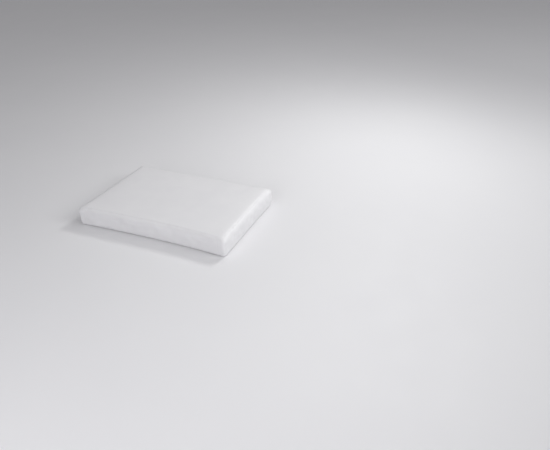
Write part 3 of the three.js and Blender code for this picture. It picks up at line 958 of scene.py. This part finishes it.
def zip_tape(name, node):
    """A woven tape that follows the inside of the rear boxing, with a raised cord along its free edge."""
    lo, hi = box_mm(node)
    side = 1 if (lo[2] + hi[2]) / 2 > ZIP_Z else -1
    inner, outer = (lo[2], hi[2]) if side > 0 else (hi[2], lo[2])
    across = np.array([0, 0.25, 0.5, 0.8, 1.1, 1.6, 2.6, 4.2, 6.2, abs(outer - inner)])
    cord = 0.16 * np.exp(-(((across - 0.5) / 0.35) ** 2))
    along = np.arange(lo[0], hi[0] + 0.1, 1.5)
    x, v = np.meshgrid(along, across, indexing="ij")
    z = inner + side * v
    rib = 0.03 * np.cos(2 * math.pi * x / 3.0)
    y = HALF_Y - seam_tuck(z) - LIP_DEPTH - 0.12 + cord[None, :] + rib
    piece = mesh_from(name, np.stack((x, y, z), -1).reshape(-1, 3), grid_faces(*x.shape))
    same_way(piece)
    return thicken(piece, TAPE_THICKNESS)


def zip_coil(name, node):
    """One row of the chain: a round wire wound into flattened turns, its heads between the other
    row's."""
    lo, hi = box_mm(node)
    side = 1 if (lo[2] + hi[2]) / 2 > ZIP_Z else -1
    reach = max(abs(lo[2] - ZIP_Z), abs(hi[2] - ZIP_Z))
    middle_z = (COIL_HEAD + reach) / 2
    half_z = (reach - COIL_HEAD) / 2 - COIL_WIRE
    half_y = (hi[1] - lo[1]) / 2 - COIL_WIRE
    middle_y = (lo[1] + hi[1]) / 2
    turns = int((hi[0] - lo[0] - 2) / COIL_PITCH)
    phase = 0.0 if side > 0 else 0.5
    t = np.arange(turns * TURN_STEPS + 1) / TURN_STEPS
    a = 2 * math.pi * t
    ring_y = np.sign(np.sin(a)) * np.abs(np.sin(a)) ** COIL_SQUARENESS
    ring_z = np.sign(np.cos(a)) * np.abs(np.cos(a)) ** COIL_SQUARENESS
    x = lo[0] + 1 + (t + phase) * COIL_PITCH
    y = middle_y + half_y * ring_y
    z = ZIP_Z + side * (middle_z - half_z * ring_z)
    centres = np.stack((x, y, z), -1)
    ahead = unit(np.gradient(centres, axis=0))
    spread = unit(np.cross(ahead, np.tile((1.0, 0, 0), (len(t), 1))))
    other = np.cross(ahead, spread)
    rings = tube_rings(centres, np.full(len(t), COIL_WIRE), spread, other, COIL_SIDES)
    piece = mesh_from(name, rings.reshape(-1, 3), tube_faces(len(t), COIL_SIDES, 0))
    same_way(piece)
    return piece


def cast(name, node, edge):
    """A die-cast piece with the CAD node's shape and its edges rounded."""
    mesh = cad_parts[node].data.copy()
    mesh.materials.clear()
    bm = bmesh.new()
    bm.from_mesh(mesh)
    bmesh.ops.remove_doubles(bm, verts=bm.verts, dist=0.01 * MM)
    bmesh.ops.dissolve_limit(bm, angle_limit=math.radians(1), verts=bm.verts, edges=bm.edges)
    bm.to_mesh(mesh)
    bm.free()
    piece = added(name, mesh)
    piece.matrix_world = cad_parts[node].matrix_world
    bevel = piece.modifiers.new("rounded edges", "BEVEL")
    bevel.width = edge * MM
    bevel.segments = 3
    bevel.limit_method = "ANGLE"
    bevel.angle_limit = math.radians(35)
    bevel.use_clamp_overlap = True
    bevel.harden_normals = True
    smooth_shaded(mesh)
    return piece


def make_zip():
    """The zip's pieces, each with its material slot and body, by the CAD node that each stands for."""
    made = {}
    for place in ("upper", "lower"):
        tape, coil, stop = f"zip_tape_{place}", f"zip_coil_{place}", f"zip_top_stop_{place}"
        made[tape] = (zip_tape(f"tape_{place}", tape), "zip_tape", "cushion")
        made[coil] = (zip_coil(f"coil_{place}", coil), "zip_coil", "cushion")
        made[stop] = (cast(f"top_stop_{place}", stop, STOP_EDGE), "zip_metal", "cushion")
    made["zip_bottom_stop"] = (cast("bottom_stop", "zip_bottom_stop", STOP_EDGE), "zip_metal", "cushion")
    made["zip_slider"] = (cast("slider_casting", "zip_slider", SLIDER_EDGE), "zip_metal", "slider")
    made["zip_pull_tab"] = (cast("pull_tab_casting", "zip_pull_tab", TAB_EDGE), "zip_metal", "pull_tab")
    return made


# ---------------------------------------------------------------- foam

def make_foam():
    """The foam block, with the softened edges of cut foam."""
    piece = cast("foam_block", "foam_core", 1.0)
    piece.modifiers.clear()
    remesh = piece.modifiers.new("even", "REMESH")
    remesh.mode = "VOXEL"
    remesh.voxel_size = 4 * MM
    smooth = piece.modifiers.new("soft", "SMOOTH")
    smooth.factor = 0.5
    smooth.iterations = 2
    return piece


# ---------------------------------------------------------------- materials

class Surface:
    """A procedural material, built up from patterns whose sizes are in millimetres."""

    def __init__(self, name, **fixed):
        self.material = bpy.data.materials.new(name)
        self.material.use_nodes = True
        self.tree = self.material.node_tree
        self.shader = self.tree.nodes["Principled BSDF"]
        self.place = self.node("ShaderNodeTexCoord").outputs["Object"]
        self.normal = None
        for key, value in fixed.items():
            self.shader.inputs[key.replace("_", " ")].default_value = value

    def feed(self, socket, value):
        if isinstance(value, bpy.types.NodeSocket):
            self.tree.links.new(value, socket)
        else:
            socket.default_value = value

    def node(self, kind, inputs=None, **settings):
        made = self.tree.nodes.new(kind)
        for key, value in settings.items():
            setattr(made, key, value)
        for key, value in (inputs or {}).items():
            self.feed(made.inputs[key], value)
        return made

    def laid_out(self, size, stretch):
        scale = tuple(k / (size * MM) for k in stretch)
        return self.node("ShaderNodeMapping", {"Vector": self.place, "Scale": scale}).outputs["Vector"]

    def noise(self, size, detail=2.0, stretch=(1, 1, 1)):
        inputs = {"Vector": self.laid_out(size, stretch), "Scale": 1.0, "Detail": detail}
        return self.node("ShaderNodeTexNoise", inputs).outputs["Fac"]

    def cells(self, size, stretch=(1, 1, 1)):
        """Rounded cells: 0 on their edges, rising towards their middles."""
        inputs = {"Vector": self.laid_out(size, stretch), "Scale": 1.0}
        made = self.node("ShaderNodeTexVoronoi", inputs, feature="DISTANCE_TO_EDGE")
        return self.between(made.outputs["Distance"], 0.0, 0.28, 0.0, 1.0)

    def ribs(self, size, direction, distortion=0.0):
        """Parallel ribs across a direction, `size` apart."""
        inputs = {
            "Vector": self.laid_out(size, (1, 1, 1)),
            "Scale": math.pi / 10,
            "Distortion": distortion,
        }
        return self.node("ShaderNodeTexWave", inputs, bands_direction=direction).outputs["Fac"]

    def between(self, value, low, high, to_low, to_high):
        inputs = {"Value": value, "From Min": low, "From Max": high, "To Min": to_low, "To Max": to_high}
        return self.node("ShaderNodeMapRange", inputs).outputs["Result"]

    def math(self, operation, a, b):
        return self.node("ShaderNodeMath", {0: a, 1: b}, operation=operation).outputs["Value"]

    def blend(self, factor, first, second):
        inputs = {0: factor, 6: first, 7: second}
        return self.node("ShaderNodeMix", inputs, data_type="RGBA").outputs[2]

    def colours(self, factor, first, second):
        """Sets the base colour between two colours."""
        colour = self.blend(factor, (*first, 1), (*second, 1))
        self.feed(self.shader.inputs["Base Color"], colour)
        return colour

    def gloss(self, factor, low, high):
        self.feed(self.shader.inputs["Roughness"], self.between(factor, 0.3, 0.7, low, high))

    def relief(self, height, depth, strength=1.0):
        """Adds relief of the given depth to the normal."""
        inputs = {"Height": height, "Distance": depth * MM, "Strength": strength}
        if self.normal is not None:
            inputs["Normal"] = self.normal
        self.normal = self.node("ShaderNodeBump", inputs).outputs["Normal"]
        self.feed(self.shader.inputs["Normal"], self.normal)


def vinyl_material():
    """Smooth white upholstery vinyl: a fine pebbled grain, and a little grime and painted shade held in
    the seams.
    """
    vinyl = Surface("vinyl", Coat_Weight=0.06, Coat_Roughness=0.3)
    patches = vinyl.between(vinyl.noise(45, 3), 0.35, 0.65, 0, 1)
    body = vinyl.blend(patches, (0.782, 0.780, 0.794, 1), (0.798, 0.797, 0.808, 1))
    # Darkens the colour close to the seams: partly grime, partly painted shade in the seam grooves.
    near = vinyl.node("ShaderNodeAttribute", attribute_name="near_seam").outputs["Fac"]
    uneven = vinyl.between(vinyl.noise(9, 3), 0.3, 0.7, 0.0, 0.08)
    grime_and_shade = vinyl.math("MULTIPLY", near, uneven)
    colour = vinyl.blend(grime_and_shade, body, (0.58, 0.57, 0.58, 1))
    vinyl.feed(vinyl.shader.inputs["Base Color"], colour)
    vinyl.gloss(vinyl.noise(16, 4), 0.40, 0.53)
    vinyl.relief(vinyl.cells(0.95), 0.04)
    vinyl.relief(vinyl.noise(0.4, 2), 0.010)
    vinyl.relief(vinyl.noise(14, 2), 0.10, 0.6)
    return vinyl.material


def foam_material():
    """Open-cell polyurethane foam."""
    foam = Surface("foam")
    foam.colours(foam.between(foam.noise(30, 4), 0.35, 0.65, 0, 1), (0.84, 0.76, 0.52), (0.90, 0.83, 0.62))
    foam.gloss(foam.noise(3, 2), 0.88, 0.98)
    foam.relief(foam.cells(0.9), 0.30)
    foam.relief(foam.cells(2.3), 0.20, 0.6)
    return foam.material


def thread_material():
    """Bonded polyester sewing thread, with its twist."""
    thread = Surface("thread")
    thread.colours(thread.noise(6, 2), (0.72, 0.72, 0.73), (0.83, 0.83, 0.84))
    thread.gloss(thread.noise(2, 2), 0.42, 0.6)
    thread.relief(thread.ribs(0.28, "DIAGONAL", 0.6), 0.05)
    return thread.material


def tape_material():
    """Woven polyester zip tape: fine ribs along its length and weft across them."""
    tape = Surface("zip_tape")
    warp = tape.ribs(0.8, "Z", 0.4)
    weft = tape.ribs(0.5, "X", 0.4)
    weave = tape.math("MULTIPLY", warp, weft)
    tape.colours(weave, (0.66, 0.66, 0.68), (0.80, 0.80, 0.81))
    tape.gloss(tape.noise(4, 2), 0.78, 0.92)
    tape.relief(weave, 0.09)
    tape.relief(tape.noise(0.3, 2), 0.02)
    return tape.material


def coil_material():
    """Nylon monofilament."""
    coil = Surface("zip_coil", Coat_Weight=0.15, Coat_Roughness=0.25)
    coil.colours(coil.noise(5, 2), (0.78, 0.78, 0.77), (0.86, 0.86, 0.85))
    coil.gloss(coil.noise(1.2, 2), 0.26, 0.40)
    coil.relief(coil.noise(0.5, 2), 0.012)
    return coil.material


def zinc_material():
    """Nickel-plated zinc casting, rubbed duller in fine streaks."""
    zinc = Surface("zip_metal", Metallic=1.0)
    zinc.colours(zinc.noise(2.5, 3), (0.56, 0.57, 0.59), (0.68, 0.69, 0.71))
    zinc.gloss(zinc.noise(0.6, 3, (0.15, 1, 1)), 0.22, 0.42)
    zinc.relief(zinc.noise(0.35, 3, (0.2, 1, 1)), 0.012)
    zinc.relief(zinc.noise(2.0, 2), 0.03, 0.5)
    return zinc.material


FLOOR_DARK = (0.765, 0.765, 0.780)
FLOOR_LIGHT = (0.790, 0.790, 0.800)


def floor_material():
    """Pale, faintly uneven studio floor."""
    floor = Surface("floor")
    floor.colours(floor.noise(260, 3), FLOOR_DARK, FLOOR_LIGHT)
    floor.gloss(floor.noise(60, 3), 0.56, 0.68)
    floor.relief(floor.cells(1.4), 0.02)
    return floor.material


MATERIALS = {
    "vinyl": vinyl_material(),
    "foam": foam_material(),
    "thread": thread_material(),
    "zip_tape": tape_material(),
    "zip_coil": coil_material(),
    "zip_metal": zinc_material(),
}


def fit(piece, node, slot, body):
    """Gives a piece its material and its body, and hides the CAD node that it stands for."""
    piece.data.materials.append(MATERIALS[slot])
    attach(piece, body)
    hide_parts(node)


for node, piece in make_cover().items():
    fit(piece, node, "vinyl", "cushion")

for node, piece in make_stitches().items():
    fit(piece, node, "thread", "cushion")

for node, (piece, slot, body) in make_zip().items():
    fit(piece, node, slot, body)

foam_block = make_foam()
fit(foam_block, "foam_core", "foam", "cushion")


# ---------------------------------------------------------------- camera, floor and light

CAMERA_PLACE = (0.6056, -0.8825, 0.5989)  # metres
CAMERA_AHEAD = (-0.33448, 0.78867, -0.51588)
CAMERA_RIGHT = (0.92293, 0.38484, -0.01006)
FOCAL_LENGTH = 35.44
SENSOR_WIDTH = 36


def make_camera():
    lens = bpy.data.cameras.new("camera")
    camera = added("camera", lens)
    lens.sensor_width = SENSOR_WIDTH
    lens.lens = FOCAL_LENGTH
    lens.clip_start = 0.01
    ahead = Vector(CAMERA_AHEAD)
    right = Vector(CAMERA_RIGHT)
    up = right.cross(ahead)
    turn = Matrix((right, up, -ahead)).transposed().to_4x4()
    camera.matrix_world = Matrix.Translation(CAMERA_PLACE) @ turn
    bpy.context.scene.camera = camera


def make_floor():
    bpy.ops.mesh.primitive_plane_add(size=12, location=(0, 0, 0))
    floor = bpy.context.object
    floor.name = "floor"
    floor.data.materials.append(floor_material())


# Each light: place in metres, diameter, power and colour. All of them face the pillow.
LIGHTS = {
    "key": ((0.43, 0.68, 0.80), 0.26, 3.7, (1, 1, 0.995)),
    "broad": ((0.2, 1.3, 1.7), 1.2, 3.4, (1, 1, 1)),
    "front": ((0.1, -1.2, 0.50), 0.8, 4.3, (0.985, 0.975, 1)),
    "right": ((3.0, 0.2, 1.7), 1.6, 32.0, (0.99, 0.995, 1)),
    "side": ((0.55, -0.35, 0.55), 0.35, 0.6, (1, 1, 1)),
}
WORLD = 0.34


def make_lights():
    for name, (place, size, power, colour) in LIGHTS.items():
        light = bpy.data.lights.new(name, "AREA")
        light.shape = "DISK"
        light.size = size
        light.energy = power
        light.color = colour
        lamp = added(name, light)
        lamp.location = place
        lamp.rotation_mode = "QUATERNION"
        lamp.rotation_quaternion = (-Vector(place)).to_track_quat("-Z", "Y")
    world = bpy.data.worlds.new("studio")
    world.use_nodes = True
    background = world.node_tree.nodes["Background"]
    background.inputs["Color"].default_value = (0.985, 0.975, 1, 1)
    background.inputs["Strength"].default_value = WORLD
    bpy.context.scene.world = world
    bpy.context.scene.view_settings.view_transform = "Standard"


make_camera()
make_floor()
make_lights()
